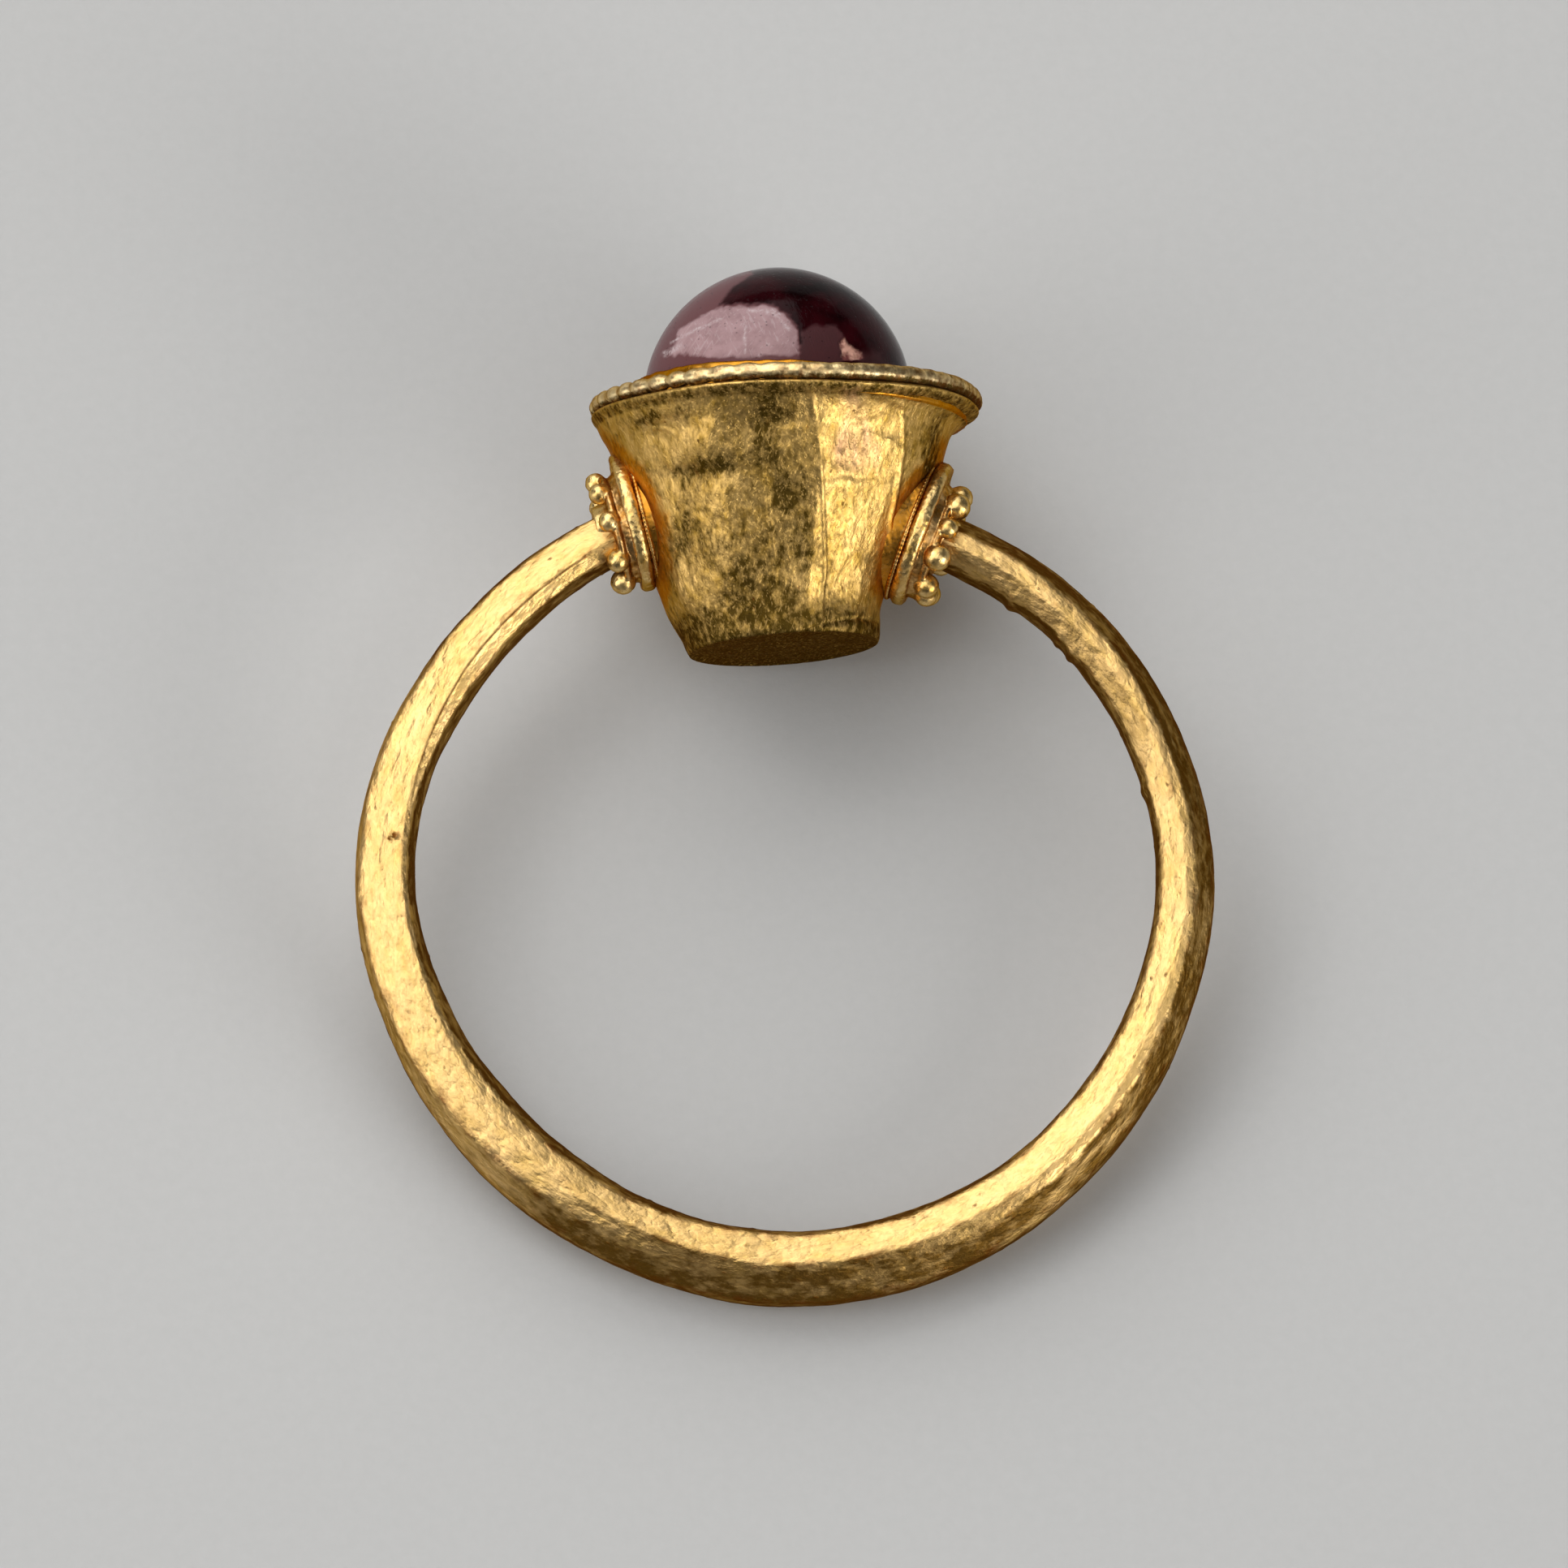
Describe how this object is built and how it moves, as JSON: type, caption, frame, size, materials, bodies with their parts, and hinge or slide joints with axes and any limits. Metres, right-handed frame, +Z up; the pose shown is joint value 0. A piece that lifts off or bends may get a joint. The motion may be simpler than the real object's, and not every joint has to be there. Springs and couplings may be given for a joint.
{
  "type": "cabochon ring",
  "caption": "Gold finger ring: a hammered hoop carries a flared cup with granulated shoulder collars, a beaded rim and a domed dark red stone.",
  "frame": {"origin": "under the middle of the ring's box, on the surface that it rests on", "axes": "+Y from the far side of the hoop towards the stone, +X across the hoop, +Z up with the finger hole's axis leaning about 10 degrees"},
  "size_m": [0.0228, 0.028, 0.0103],
  "materials": {
    "gold": "hammered high-carat yellow gold, scratched, with orange-brown patina in the crevices",
    "garnet": "polished dark wine-red garnet, finely pitted"
  },
  "bodies": {
    "root": {"soldered_ring": "gold", "cabochon": "garnet"}
  },
  "joints": []
}
